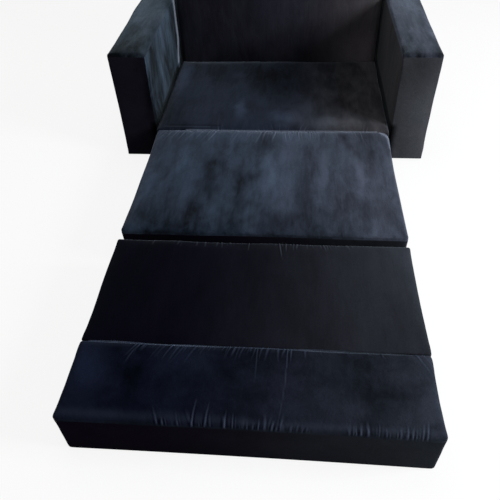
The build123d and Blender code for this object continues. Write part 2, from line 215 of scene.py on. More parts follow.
def round_corners(x, y, low, high, corners):
    """Moves plan points near the rectangle's corners onto rounded ones.

    corners holds the radii at the left and the right, in front and then behind.
    """
    for sy, radii in zip((-1, 1), corners):
        for sx, radius in zip((-1, 1), radii):
            centre_x = (high[0] if sx > 0 else low[0]) - sx * radius
            centre_y = (high[1] if sy > 0 else low[1]) - sy * radius
            a = (x - centre_x) * sx / radius
            b = (y - centre_y) * sy / radius
            inside = (a > 0) & (b > 0)
            a, b = np.where(inside, a, 0), np.where(inside, b, 0)
            new_a = a * np.sqrt(np.clip(1 - b ** 2 / 2, 0, 1))
            new_b = b * np.sqrt(np.clip(1 - a ** 2 / 2, 0, 1))
            x = np.where(inside, centre_x + sx * radius * new_a, x)
            y = np.where(inside, centre_y + sy * radius * new_b, y)
    return x, y


def edge_drop(distance, radius):
    """How far a rounded edge lies below the flat, at a distance in from the side."""
    inside = np.clip(radius - distance, 0, radius)
    return radius - np.sqrt(radius ** 2 - inside ** 2)


def placed(name, data):
    """A new object of the scene with the given data."""
    obj = bpy.data.objects.new(name, data)
    bpy.context.scene.collection.objects.link(obj)
    return obj


def new_object(name, points, faces, panels=None, materials=()):
    """A smooth mesh object. panels gives each face's place among the materials."""
    mesh = bpy.data.meshes.new(name)
    mesh.from_pydata(np.asarray(points).tolist(), [], [tuple(int(k) for k in f) for f in faces])
    mesh.shade_smooth()
    for material in materials:
        mesh.materials.append(material)
    if panels is not None:
        mesh.polygons.foreach_set("material_index", [int(p) for p in panels])
    mesh.update()
    return placed(name, mesh)


# The places of a soft box's panels among its materials
panel_places = {"top": 0, "front": 1, "rear": 2, "left": 3, "right": 4}


def soft_box(name, low, high, materials, edges, corners, crown, draws, levels, step, hem=hem_radius):
    """A crowned closed box of cloth, as a coarse mesh whose seam rings are in the group "seams".

    materials are those of the top, the front, the rear, the left and the right. edges holds the
    rounding of the top at the front, the rear and both sides, corners the plan rounding as in
    round_corners, draws how far the sides, the front and the rear pull in, levels the rows of
    faces down the sides, step the mesh size, and hem the rounding at the bottom.
    """
    front, rear, side = edges
    xs = spaced(low[0], high[0], side, side, step)
    ys = spaced(low[1], high[1], front, rear, step)
    x, y = np.meshgrid(xs, ys, indexing="ij")
    drop = np.maximum.reduce([edge_drop(x - low[0], side), edge_drop(high[0] - x, side),
                              edge_drop(y - low[1], front), edge_drop(high[1] - y, rear)])
    u = 2 * (x - low[0]) / (high[0] - low[0]) - 1
    v = 2 * (y - low[1]) / (high[1] - low[1]) - 1
    z = high[2] - crown - drop + crown * (1 - u ** 4) * (1 - v ** 4)
    nx, ny = x.shape
    loop = [(i, 0) for i in range(nx)] + [(nx - 1, j) for j in range(1, ny)]
    loop += [(i, ny - 1) for i in range(nx - 2, -1, -1)] + [(0, j) for j in range(ny - 2, 0, -1)]
    loop = np.array(loop)
    x, y = round_corners(x, y, low, high, corners)
    rim = np.stack([a[loop[:, 0], loop[:, 1]] for a in (x, y, z)], axis=1)
    centre = (low + high) / 2
    half = (high - low) / 2
    bottom = low[2] + hem
    rings = []
    for share in np.linspace(1, 0, levels + 1)[1:]:
        ring = rim.copy()
        ring[:, 2] = bottom + (rim[:, 2] - bottom) * share
        rings.append(ring)
    inward = -np.clip((rim - centre) / half * hem_turn, -1, 1)
    for inset, height in ((hem * hem_start, hem * hem_start), (hem, 0), (hem + hem_width, 0),
                          (hem + hem_width, hem_lip)):
        ring = rim + inward * inset
        ring[:, 2] = low[2] + height
        rings.append(ring)
    points = np.concatenate([np.stack([x.ravel(), y.ravel(), z.ravel()], axis=1)] + rings)
    u = np.clip((points[:, 0] - centre[0]) / half[0], -1, 1)
    v = np.clip((points[:, 1] - centre[1]) / half[1], -1, 1)
    side_draw, front_draw, rear_draw = draws
    points[:, 0] -= side_draw * (1 - v ** 2) * u ** 3
    points[:, 1] -= np.where(v < 0, front_draw, rear_draw) * (1 - u ** 2) * v ** 3
    index = np.arange(nx * ny).reshape(nx, ny)
    faces = [(index[i, j], index[i + 1, j], index[i + 1, j + 1], index[i, j + 1])
             for i in range(nx - 1) for j in range(ny - 1)]
    panels = [panel_places["top"]] * len(faces)
    upper = index[loop[:, 0], loop[:, 1]]
    count = len(upper)
    seams = list(upper)
    side_names = ["front"] * (nx - 1) + ["right"] * (ny - 1) + ["rear"] * (nx - 1) + ["left"] * (ny - 1)
    following = np.roll(np.arange(count), -1)
    for level in range(len(rings)):
        lower = nx * ny + level * count + np.arange(count)
        faces += [(upper[k], lower[k], lower[n], upper[n]) for k, n in enumerate(following)]
        panels += [panel_places[s] for s in side_names]
        if level >= levels - 1:
            seams += list(lower)
        upper = lower
    faces.append(tuple(upper[::-1]))
    panels.append(panel_places["rear"])
    obj = new_object(name, points, faces, panels, materials)
    group = obj.vertex_groups.new(name="seams")
    group.add([int(k) for k in seams], 1.0, "REPLACE")
    return obj


def coordinates(obj):
    """A mesh's points as an array."""
    flat = np.empty(len(obj.data.vertices) * 3)
    obj.data.vertices.foreach_get("co", flat)
    return flat.reshape(-1, 3)


def normals(obj):
    """A mesh's point normals as an array."""
    flat = np.empty(len(obj.data.vertices) * 3, dtype=np.float32)
    obj.data.vertex_normals.foreach_get("vector", flat)
    return flat.reshape(-1, 3).astype(float)


def set_coordinates(obj, points):
    """Writes a mesh's points back."""
    obj.data.vertices.foreach_set("co", points.ravel())
    obj.data.update()


def settle(obj, cap=settle_cap, tight=()):
    """Lets loosened cloth fill out over its padding, held at its seams, and caps each move.

    tight names the ends, front or rear, that face a neighbour, where it hardly swells.
    """
    start = coordinates(obj)
    modifier = obj.modifiers.new("cloth", "CLOTH")
    cloth = modifier.settings
    for setting, value in cloth_settings.items():
        setattr(cloth, setting, value)
    cloth.effector_weights.gravity = 0
    cloth.vertex_group_mass = "seams"
    modifier.collision_settings.use_collision = False
    modifier.point_cache.frame_end = settle_frames
    scene = bpy.context.scene
    for number in range(1, settle_frames + 1):
        scene.frame_set(number)
    move = coordinates(obj.evaluated_get(bpy.context.evaluated_depsgraph_get())) - start
    obj.modifiers.remove(modifier)
    scene.frame_set(1)
    length = np.linalg.norm(move, axis=1, keepdims=True)
    move *= cap / (cap + length)
    low, high = start[:, 1].min(), start[:, 1].max()
    for end, distance in (("front", start[:, 1] - low), ("rear", high - start[:, 1])):
        if end in tight:
            move[:, 1] *= tight_share + (1 - tight_share) * ease(distance, 0, tight_reach)
    set_coordinates(obj, start + move)


def refine(obj, levels):
    """Subdivides a mesh smoothly, for good. Its flat underside is left out and filled in after."""
    bm = bmesh.new()
    bm.from_mesh(obj.data)
    bmesh.ops.delete(bm, geom=[f for f in bm.faces if len(f.verts) > 4], context="FACES_ONLY")
    bm.to_mesh(obj.data)
    bm.free()
    modifier = obj.modifiers.new("refine", "SUBSURF")
    modifier.levels = modifier.render_levels = levels
    modifier.uv_smooth = "NONE"
    evaluated = obj.evaluated_get(bpy.context.evaluated_depsgraph_get())
    mesh = bpy.data.meshes.new_from_object(evaluated)
    obj.modifiers.remove(modifier)
    old = obj.data
    obj.data = mesh
    bpy.data.meshes.remove(old)
    mesh.name = obj.name
    obj.vertex_groups.clear()
    bm = bmesh.new()
    bm.from_mesh(mesh)
    filled = bmesh.ops.contextual_create(bm, geom=[e for e in bm.edges if e.is_boundary])
    for face in filled["faces"]:
        face.material_index = panel_places["rear"]
    bm.to_mesh(mesh)
    bm.free()
    mesh.shade_smooth()


def finer(obj, low_y, high_y, low_z):
    """Quarters the faces along X between two Y, above a height, so narrow creases keep their shape."""
    bm = bmesh.new()
    bm.from_mesh(obj.data)
    near = {v for v in bm.verts if low_y < v.co.y < high_y and v.co.z > low_z}
    chosen = [edge for edge in bm.edges if near.issuperset(edge.verts)
              and abs(edge.verts[0].co.x - edge.verts[1].co.x) > 0.8 * edge.calc_length()]
    bmesh.ops.subdivide_edges(bm, edges=chosen, cuts=3)
    bm.to_mesh(obj.data)
    bm.free()
    obj.data.shade_smooth()


def waves(points, seed, length, count=14):
    """Gentle uneven swells, from about -1 to 1: slow waves in seeded directions."""
    draw = np.random.default_rng(seed)
    total = np.zeros(len(points))
    for _ in range(count):
        direction = draw.normal(size=3)
        direction /= np.linalg.norm(direction)
        size = length * draw.uniform(0.6, 1.8)
        total += np.sin(points @ direction * 2 * math.pi / size + draw.uniform(0, 2 * math.pi))
    return total / math.sqrt(count)


def swell(points, seed, size):
    """Gentle swells of a size, which is their height and their length."""
    height, length = size
    return height * waves(points, seed, length)


def calmed(points, low, heights):
    """Heights that fade out towards the floor."""
    return heights * ease(points[:, 2], low[2], low[2] + calm_height)


# One crease: the X where it starts, its lean and bend, its width and length, and its strength
Crease = namedtuple("Crease", "x lean bend width length gain")


def crease(x, along, one):
    """One crease's height, and its tone of painted highlight on its crest and painted shade beside it, for
    points at x, along from the seam that it starts at.
    """
    offset = np.abs(x - one.x - one.lean * along - one.bend * along ** 2) / one.width
    fade = one.gain * np.clip(1 - along / one.length, 0, 1) ** 0.8
    core = np.exp(-offset ** 2 / 2)
    flank = np.exp(-(offset - 2.3) ** 2 / 1.6)
    return fade * (core - 0.5 * flank), fade * (core - 0.45 * flank)


def pucker(points, seed, seam_y, into, top_z, spans, lengths, height, shine, singles=()):
    """Creases that start at a seam across the bed and run away from it, to one side.

    into is 1 where they run towards the back, and -1 towards the front. spans holds (low X,
    high X, how many, lean at low X, lean at high X), lengths the shortest and the longest, and
    singles single creases. shine scales their tone: a painted highlight along each crest and
    painted shade beside it. Returns each point's height and tone.
    """
    draw = np.random.default_rng(seed)
    chosen = list(singles)
    for x_low, x_high, count, lean_low, lean_high in spans:
        for place in np.sort(draw.uniform(0, 1, count)):
            length = lengths[0] + (lengths[1] - lengths[0]) * draw.uniform() ** 2.2
            width = draw.uniform(1.0, 1.8) * MM * (1 + 0.5 * length / lengths[1])
            lean = lean_low + (lean_high - lean_low) * place + draw.normal(0, 0.08)
            bend = draw.normal(0, 0.05) / length
            chosen.append(Crease(x_low + (x_high - x_low) * place, lean, bend, width, length,
                                 draw.uniform(0.25, 0.95)))
    away = (points[:, 1] - seam_y) * into
    longest = max(one.length for one in chosen)
    faded, full = top_z - crease_fade[0], top_z - crease_fade[1]
    reach = (away > -crease_start) & (away < longest) & (points[:, 2] > faded)
    x, along = points[reach, 0], np.clip(away[reach], 0, None)
    found = np.zeros((2, len(x)))
    for one in chosen:
        found += crease(x, along, one)
    found *= np.clip(1 + np.clip(away[reach], None, 0) / crease_start, 0, 1)
    found *= ease(points[reach, 2], faded, full)
    total = np.zeros((2, len(points)))
    total[:, reach] = found
    return height * total[0], shine * total[1]


def painted_light_line(points, start, end, width, gain, top_z):
    """Painted light along a line on a block's top, from start to end in plan: a painted highlight where gain
    is above 0, and painted shade where it is below.
    """
    start, end = np.array(start), np.array(end)
    run = end - start
    share = np.clip((points[:, :2] - start) @ run / (run @ run), 0, 1)
    distance = np.linalg.norm(points[:, :2] - start - share[:, None] * run, axis=1)
    on_top = ease(points[:, 2], top_z - line_fade[0], top_z - line_fade[1])
    return gain * np.exp(-(distance / width) ** 2) * on_top


def set_tone(obj, tone):
    """Keeps each point's tone for its velvet: up to 1 for a painted highlight, down to -1 for painted shade.
    """
    layer = obj.data.attributes.new("tone", "FLOAT", "POINT")
    layer.data.foreach_set("value", np.clip(tone, -1, 1.5).astype(np.float32))


def groove(distance, width, depth):
    """A stitched seam's shallow groove, at a distance from its line."""
    return -depth * np.exp(-(distance / width) ** 2)


def relief(obj, heights):
    """Moves each point along its normal by its height."""
    set_coordinates(obj, coordinates(obj) + normals(obj) * heights[:, None])


def keep_over(obj, names):
    """Moves a cover's points out of the timber and board that it hides, with a little room."""
    points = coordinates(obj)
    for name in names:
        low, high = node_box(name)
        low, high = low - frame_room, high + frame_room
        depths = np.concatenate([points - low, high - points], axis=1)
        nearest = depths.argmin(axis=1)
        for place in np.flatnonzero((depths > 0).all(axis=1)):
            axis = nearest[place] % 3
            points[place, axis] = (low if nearest[place] < 3 else high)[axis]
    set_coordinates(obj, points)


def link(source, target):
    """Links an output socket to an input socket."""
    target.id_data.links.new(source, target)


def new_material(name):
    """An empty node material with its shader."""
    material = bpy.data.materials.new(name)
    material.use_nodes = True
    tree = material.node_tree
    return material, tree, tree.nodes["Principled BSDF"]


def put(socket, value):
    """Links a socket to a socket, or gives it a plain value."""
    if hasattr(value, "is_linked"):
        link(value, socket)
    elif isinstance(value, tuple) and len(socket.default_value) == 4:
        socket.default_value = (*value, 1)
    else:
        socket.default_value = value


def give(node, values):
    """Gives a node its inputs, by name: sockets to link, or plain values."""
    for name, value in values.items():
        put(node.inputs[name], value)
    return node


def add(tree, kind):
    """A new shader node of a kind."""
    return tree.nodes.new("ShaderNode" + kind)


def noise(tree, vector, scale, detail=3.0, roughness=0.55, distortion=0.0, output="Fac"):
    """A noise texture."""
    node = give(add(tree, "TexNoise"), {"Vector": vector, "Scale": scale, "Detail": detail,
                                        "Roughness": roughness, "Distortion": distortion})
    return node.outputs[output]


def mapped(tree, scale=(1, 1, 1), location=(0, 0, 0), source=None):
    """Object coordinates, stretched and moved."""
    if source is None:
        source = add(tree, "TexCoord").outputs["Object"]
    mapping = give(add(tree, "Mapping"), {"Vector": source, "Scale": scale, "Location": location})
    return mapping.outputs["Vector"]


def calc(tree, operation, a, b=0.0, clamp=False):
    """A math node on two sockets or numbers."""
    node = add(tree, "Math")
    node.operation = operation
    node.use_clamp = clamp
    put(node.inputs[0], a)
    put(node.inputs[1], b)
    return node.outputs[0]


def weighted(tree, terms):
    """The sum of values, each times its weight."""
    total = None
    for value, weight in terms:
        term = calc(tree, "MULTIPLY", value, weight)
        total = term if total is None else calc(tree, "ADD", total, term)
    return total


def vector_calc(tree, operation, a, b, output="Vector"):
    """A vector math node. SCALE takes its number from b."""
    node = add(tree, "VectorMath")
    node.operation = operation
    put(node.inputs[0], a)
    put(node.inputs["Scale" if operation == "SCALE" else 1], b)
    return node.outputs[output]


def ranged(tree, value, low=0.35, high=0.65, out_low=0.0, out_high=1.0):
    """A value eased from one range to another."""
    node = add(tree, "MapRange")
    node.interpolation_type = "SMOOTHSTEP"
    give(node, {"Value": value, "From Min": low, "From Max": high, "To Min": out_low, "To Max": out_high})
    return node.outputs["Result"]


def mix_colour(tree, factor, a, b):
    """A colour between two colours or sockets."""
    node = add(tree, "Mix")
    node.data_type = "RGBA"
    for place, value in ((0, factor), (6, a), (7, b)):
        put(node.inputs[place], value)
    return node.outputs[2]


def bump(tree, shader, height, strength, distance, under=None):
    """A bump from a height, over another bump where one is given."""
    node = give(add(tree, "Bump"), {"Height": height, "Strength": strength, "Distance": distance})
    if under is not None:
        link(under, node.inputs["Normal"])
    link(node.outputs["Normal"], shader.inputs["Normal"])
    return node.outputs["Normal"]


def pile_and_light_patch(tree, place, centre, radii, gain):
    """A soft lighter or darker patch, as a value that fades from gain to 0: brushed pile, and in places
    painted light and shade.
    """
    scale = tuple(1 / r for r in radii)
    location = tuple(-c / r for c, r in zip(centre, radii))
    local = mapped(tree, scale, location, place)
    distance = vector_calc(tree, "LENGTH", local, (0, 0, 0), "Value")
    return ranged(tree, distance, 0.0, 1.0, gain, 0.0)


def velvet(name, left, right, sheen, mottle, lay, stretch, seed, strokes=(), opened=(0.05, 0.06, 0.09),
           turn=(-0.25, 0.5), tint=(0.72, 0.90, 1.0)):
    """Velvet whose pile lies unevenly, so it shows lighter and darker clouds and streaks.

    left and right are its colours on those sides, and turn where along X one turns into the
    other. Where the right colour is lighter, that is painted light, for the brighter light on the
    right side. sheen and tint are the pile's gloss and its colour. mottle scales the clouds, lay how
    far the pile leans in them, and stretch their shape. strokes holds (centre, radii,
    gain) of single patches, and opened is the painted highlight colour that is added where
    the mesh's tone is above 0. Below 0, the tone darkens the colour as painted shade.
    """
    material, tree, shader = new_material("velvet_" + name)
    plain = mapped(tree)
    place = mapped(tree, stretch, (seed, seed, seed))
    wide = noise(tree, place, 6.5, 3.0, 0.55, 0.5)
    small = noise(tree, place, 24.0, 4.0, 0.62, 0.3)
    fine = noise(tree, mapped(tree, tuple(a * a for a in stretch), (seed, 0, 0)), 85.0, 3.0, 0.6, 0.2)
    clouds = weighted(tree, ((ranged(tree, wide), 0.55), (ranged(tree, small, 0.33, 0.67), 0.33),
                             (ranged(tree, fine, 0.3, 0.7), 0.12)))
    shift = vector_calc(tree, "SUBTRACT", noise(tree, plain, 9.0, 3.0, output="Color"), (0.5, 0.5, 0.5))
    warped = vector_calc(tree, "ADD", plain, vector_calc(tree, "SCALE", shift, 0.09))
    factor = calc(tree, "ADD", calc(tree, "MULTIPLY", clouds, 2 * mottle), 1 - mottle)
    for centre, radii, gain in strokes:
        factor = calc(tree, "ADD", factor, pile_and_light_patch(tree, warped, centre, radii, gain))
    speck = ranged(tree, noise(tree, plain, 380.0, 2.0, 0.6), 0.2, 0.8, 0.8, 1.2)
    factor = calc(tree, "MULTIPLY", calc(tree, "MAXIMUM", factor, darkest), speck)
    tone = add(tree, "Attribute")
    tone.attribute_name = "tone"
    shade = calc(tree, "ADD", calc(tree, "MINIMUM", tone.outputs["Fac"], 0.0), 1.0)
    factor = calc(tree, "MULTIPLY", factor, shade)
    parts = add(tree, "SeparateXYZ")
    link(plain, parts.inputs[0])
    ground = mix_colour(tree, ranged(tree, parts.outputs["X"], *turn), left, right)
    tinge = mix_colour(tree, ranged(tree, noise(tree, place, 11.0, 2.0)), *tinges)
    ground = vector_calc(tree, "MULTIPLY", ground, tinge)
    glow = vector_calc(tree, "SCALE", opened, calc(tree, "MAXIMUM", tone.outputs["Fac"], 0.0))
    total = vector_calc(tree, "ADD", vector_calc(tree, "SCALE", ground, factor), glow)
    give(shader, {"Base Color": total, "Roughness": ranged(tree, small, 0.2, 0.8, 0.84, 0.96),
                  "Specular IOR Level": 0.0, "Sheen Weight": sheen, "Sheen Roughness": 0.35,
                  "Sheen Tint": tint})
    pile = bump(tree, shader, noise(tree, plain, 900.0, 2.0, 0.7), 0.3, 0.4 * MM)
    bump(tree, shader, clouds, 1.0, 5.0 * MM * lay, pile)
    return material


def plain_cloth(name, colour, weave=700.0):
    """A dull woven or felted cloth."""
    material, tree, shader = new_material(name)
    place = mapped(tree)
    cloud = noise(tree, place, 30.0, 3.0)
    fibre = noise(tree, mapped(tree, (1, 3, 1)), weave, 2.0)
    light = tuple(min(1.0, 1.6 * c + 0.01) for c in colour)
    amount = calc(tree, "MULTIPLY", calc(tree, "ADD", cloud, fibre), 0.5)
    give(shader, {"Base Color": mix_colour(tree, amount, colour, light), "Roughness": 0.95,
                  "Specular IOR Level": 0.12})
    bump(tree, shader, fibre, 0.4, 0.3 * MM)
    return material


def timber(name, dark, light, grain):
    """Sawn wood with its grain along one axis. grain is the stretch of the rings."""
    material, tree, shader = new_material(name)
    place = mapped(tree, grain)
    rings = noise(tree, place, 9.0, 4.0, 0.6, 1.2)
    fibre = noise(tree, place, 80.0, 3.0, 0.6)
    amount = weighted(tree, ((ranged(tree, rings), 0.7), (fibre, 0.3)))
    give(shader, {"Base Color": mix_colour(tree, amount, dark, light),
                  "Roughness": ranged(tree, fibre, 0.2, 0.8, 0.55, 0.75)})
    bump(tree, shader, fibre, 0.3, 0.4 * MM)
    return material


def hard(name, colour, roughness, metallic=0.0, scale=300.0):
    """Moulded plastic or plated steel, with faint wear in its gloss."""
    material, tree, shader = new_material(name)
    wear = noise(tree, mapped(tree), scale, 3.0)
    light = tuple(min(1.0, 1.25 * c + 0.005) for c in colour)
    gloss = ranged(tree, wear, 0.2, 0.8, roughness * 0.8, roughness * 1.2)
    give(shader, {"Base Color": mix_colour(tree, wear, colour, light), "Roughness": gloss,
                  "Metallic": metallic})
    bump(tree, shader, wear, 0.15, 0.2 * MM)
    return material


def zipper(name, tape_colour, tooth_colour, pitch, chain_share):
    """A closed zip: woven tapes with a row of moulded teeth along the middle."""
    material, tree, shader = new_material(name)
    plain = mapped(tree)
    across = add(tree, "SeparateXYZ")
    link(add(tree, "TexCoord").outputs["Generated"], across.inputs[0])
    parts = add(tree, "SeparateXYZ")
    link(plain, parts.inputs[0])
    aside = calc(tree, "ABSOLUTE", calc(tree, "SUBTRACT", across.outputs["Z"], 0.5))
    chain = ranged(tree, aside, 0.5 * chain_share, 0.5 * chain_share + 0.02, 1.0, 0.0)
    tooth = calc(tree, "SINE", calc(tree, "MULTIPLY", parts.outputs["X"], 2 * math.pi / pitch))
    tooth = calc(tree, "MULTIPLY", ranged(tree, tooth, -0.6, 0.6), chain)
    fibre = noise(tree, mapped(tree, (1, 1, 3)), 900.0, 2.0)
    light = tuple(1.6 * c + 0.004 for c in tape_colour)
    tape = mix_colour(tree, fibre, tape_colour, light)
    teeth = mix_colour(tree, tooth, (0.004, 0.004, 0.005), tooth_colour)
    give(shader, {"Base Color": mix_colour(tree, chain, tape, teeth), "Specular IOR Level": 0.3,
                  "Roughness": ranged(tree, chain, 0.0, 1.0, 0.9, 0.35)})
    weave = bump(tree, shader, fibre, 0.3, 0.2 * MM)
    bump(tree, shader, tooth, 0.8, 0.8 * MM, weave)
    return material


# How velvet's clouds are stretched: along Y, along Z, or hardly
along_y = (1, 0.35, 1)
along_z = (1, 1, 0.4)
even = (0.8, 0.7, 1)


def on_top(z, depth, *rows):
    """Strokes at one height, from rows of (X, Y, radius along X, radius along Y, gain)."""
    return tuple(((x, y, z), (radius_x, radius_y, depth), gain) for x, y, radius_x, radius_y, gain in rows)


# Lighter and darker patches and bands, from the photograph. On the middle block they are brushed pile. On the
# seat they include the painted shadow of the right arm, and on the back painted light over its shadowed right
# part.
# Each has its centre, its radii and its gain.
seat_pile_and_shade_patches = on_top(
    0.15, 0.1,
    (-0.135, 0.4, 0.04, 0.11, 1.8), (-0.42, 0.67, 0.06, 0.22, 2.6), (-0.28, 0.72, 0.06, 0.14, -0.45),
    (0.05, 0.315, 0.08, 0.085, 1.6), (0.2, 0.285, 0.2, 0.075, 1.1), (0.06, 0.66, 0.16, 0.34, -0.8),
    (-0.25, 0.72, 0.09, 0.22, -0.4), (-0.16, 0.69, 0.03, 0.06, 0.9), (-0.05, 0.68, 0.12, 0.28, -0.6))
middle_strokes = on_top(
    0.15, 0.2,
    (-0.2, 0, 0.07, 0.26, -0.5), (-0.22, -0.25, 0.06, 0.22, -0.45), (-0.27, -0.12, 0.3, 0.24, -0.3),
    (-0.083, -0.17, 0.05, 0.28, -0.65), (-0.01, -0.02, 0.055, 0.18, 0.7), (-0.31, 0.1, 0.06, 0.2, 0.4),
    (0, 0.16, 0.06, 0.12, -0.25), (0.115, -0.02, 0.055, 0.34, -0.55), (0.258, 0.17, 0.045, 0.13, -0.45),
    (0.2, -0.08, 0.05, 0.32, 0.45), (0.255, -0.1, 0.05, 0.16, 0.4), (0.4, -0.24, 0.09, 0.18, -0.4),
    (0.315, -0.08, 0.04, 0.16, 0.9), (-0.4, -0.03, 0.09, 0.28, 0.4), (-0.32, -0.24, 0.06, 0.14, 0.3),
    (-0.2, 0.2, 0.5, 0.1, 0.4), (-0.2, -0.34, 0.45, 0.18, -0.45))
foot_patches = on_top(0.15, 0.1, (0.47, -0.4, 0.2, 0.36, 0.9))
end_patches = on_top(
    0.15, 0.1,
    (-0.42, -0.87, 0.11, 0.16, 1.6), (-0.285, -0.89, 0.07, 0.4, -0.2), (-0.15, -0.82, 0.14, 0.07, 0.5),
    (0.45, -0.87, 0.12, 0.3, 0.8))
arm_top_patches = on_top(
    0.43, 0.2,
    (-0.53, 0.28, 0.16, 0.16, -0.75), (-0.53, 0.62, 0.14, 0.22, 0.45), (0.53, 0.27, 0.16, 0.11, -0.4),
    (0.5, 0.76, 0.14, 0.12, 0.45))
arm_front_patches = (
    ((-0.475, 0.27, 0.28), (0.035, 0.2, 0.3), -0.6),
    ((0.49, 0.27, 0.4), (0.12, 0.2, 0.2), -0.35),
    ((0.58, 0.27, 0.12), (0.09, 0.2, 0.26), 0.45),
)
back_light_and_shade_patches = (
    ((0.12, 0.85, 0.48), (0.32, 0.2, 0.26), 0.7),
    ((-0.2, 0.85, 0.15), (0.45, 0.2, 0.12), -0.25),
    ((0.42, 0.85, 0.17), (0.24, 0.2, 0.17), 1.5),
    ((0.45, 0.85, 0.36), (0.16, 0.2, 0.2), 0.6),
)

# Each velvet's left and right colours, sheen, mottle, lay, stretch and seed, and what else it takes
# A right colour lighter than its left one is painted light, for the brighter light towards the right side,
# even where the right arm's shadow falls.
velvet_looks = {
    "seat_top": ((0.0072, 0.0102, 0.0175), (0.0315, 0.0305, 0.0335), 0.2, 0.65, 0.5, along_y, 1,
                 dict(strokes=seat_pile_and_shade_patches, opened=(0.04, 0.046, 0.06), turn=(0, 0.45),
                      tint=(0.72, 0.82, 1))),
    "middle_top": ((0.0172, 0.0262, 0.0428), (0.034, 0.0395, 0.0555), 0.45, 0.7, 0.45, along_y, 2,
                   dict(strokes=middle_strokes, opened=(0.07, 0.078, 0.1), tint=(0.68, 0.78, 1))),
    "foot_top": ((0.0024, 0.002, 0.005), (0.0155, 0.0172, 0.0222), 0.1, 0.25, 0.25, along_y, 3,
                 dict(strokes=foot_patches, opened=(0.034, 0.037, 0.05))),
    "end_top": ((0.0028, 0.0038, 0.0088), (0.0118, 0.0141, 0.02), 0.08, 0.6, 0.6, even, 4,
                dict(strokes=end_patches, opened=(0.026, 0.034, 0.054))),
    "border": ((0.004, 0.0025, 0.006), (0.016, 0.018, 0.0228), 0.02, 0.15, 0.2, even, 5,
               dict(opened=(0.01, 0.012, 0.017))),
    "side": ((0.008, 0.009, 0.015), (0.016, 0.017, 0.023), 0.15, 0.4, 0.5, even, 6, {}),
    "arm_top": ((0.024, 0.033, 0.046), (0.04, 0.046, 0.064), 0.2, 0.8, 0.5, along_y, 7,
                dict(strokes=arm_top_patches)),
    "arm_inner_left": ((0.024, 0.035, 0.052), (0.02, 0.03, 0.04), 0.13, 1.2, 0.4, along_z, 8,
                       dict(opened=(0.22, 0.24, 0.3))),
    # The right arm's inner face has its own duller velvet with little sheen: painted shade, as it lies in the
    # key lamp's shadow.
    "arm_inner_right": ((0.03, 0.03, 0.03), (0.044, 0.042, 0.044), 0.04, 0.2, 0.3, along_z, 8.5, {}),
    "arm_front": ((0.0064, 0.006, 0.01), (0.033, 0.0345, 0.04), 0.1, 0.12, 0.3, even, 9,
                  dict(strokes=arm_front_patches)),
    "back_front": ((0.01, 0.01, 0.015), (0.043, 0.0395, 0.044), 0.2, 0.35, 0.6, along_z, 10,
                   dict(strokes=back_light_and_shade_patches, turn=(0.05, 0.5))),
    "back_edge": ((0.0105, 0.0107, 0.016), (0.025, 0.024, 0.028), 0.2, 0.4, 0.6, along_z, 11, {}),
    # The seams' velvets are lighter than the blocks': a painted highlight along each seam.
    "seam_rear": ((0.08, 0.09, 0.12), (0.08, 0.09, 0.11), 0.5, 0.5, 0.3, along_y, 12, {}),
    "seam_front": ((0.027, 0.034, 0.055), (0.022, 0.026, 0.034), 0.5, 0.5, 0.3, along_y, 13, {}),
}
velvets = {name: velvet(name, *look, **more) for name, (*look, more) in velvet_looks.items()}

other_materials = {name: make(name, *values) for name, make, *values in (
    ("base_cloth", plain_cloth, (0.012, 0.012, 0.014)),
    ("zip", zipper, (0.007, 0.007, 0.01), (0.03, 0.032, 0.04), 3.2 * MM, 5 / 26),
    ("tape", plain_cloth, (0.01, 0.012, 0.02)),
    ("webbing", plain_cloth, (0.45, 0.36, 0.24)),
    ("glide", hard, (0.02, 0.02, 0.02), 0.45),
    ("steel", hard, (0.6, 0.6, 0.62), 0.35, 1),
    ("plywood", timber, (0.5, 0.34, 0.18), (0.74, 0.56, 0.35), (6, 1, 6)),
    ("timber", timber, (0.48, 0.31, 0.15), (0.72, 0.52, 0.3), (7, 1, 7)),
    ("stained_board", timber, (0.01, 0.009, 0.009), (0.026, 0.022, 0.02), (6, 1, 6)),
)}


def dress(obj, body, replaced):
    """Gives a soft piece its body and the CAD nodes that it stands for."""
    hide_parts(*replaced)
    if body is not None:
        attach(obj, body)


def press_flat(points, top_z):
    """Presses a block's top softly down to where the block that folds onto it will lie."""
    limit = top_z - fold_room
    above = np.clip((points[:, 2] - limit) / press_depth + 1, 0, None)
    pressed = limit - press_depth * np.exp(-above)
    points[:, 2] = np.where(above > 0, pressed, points[:, 2])


def zip_recess(points, zip_name, looks):
    """Presses the zip's place into a cover's face, so the zip lies flush. looks is -1 or 1 along Y."""
    low, high = node_box(zip_name)
    seat = (high[1] if looks < 0 else low[1]) - looks * zip_gap
    face = low[1] if looks < 0 else high[1]
    across_x = np.minimum(points[:, 0] - low[0], high[0] - points[:, 0])
    across_z = np.minimum(points[:, 2] - low[2], high[2] - points[:, 2])
    inside = ease(np.minimum(across_x, across_z), -zip_edge, 0)
    near = np.abs(points[:, 1] - face) < zip_reach
    points[:, 1] += np.where(near, inside * (seat - points[:, 1]), 0)


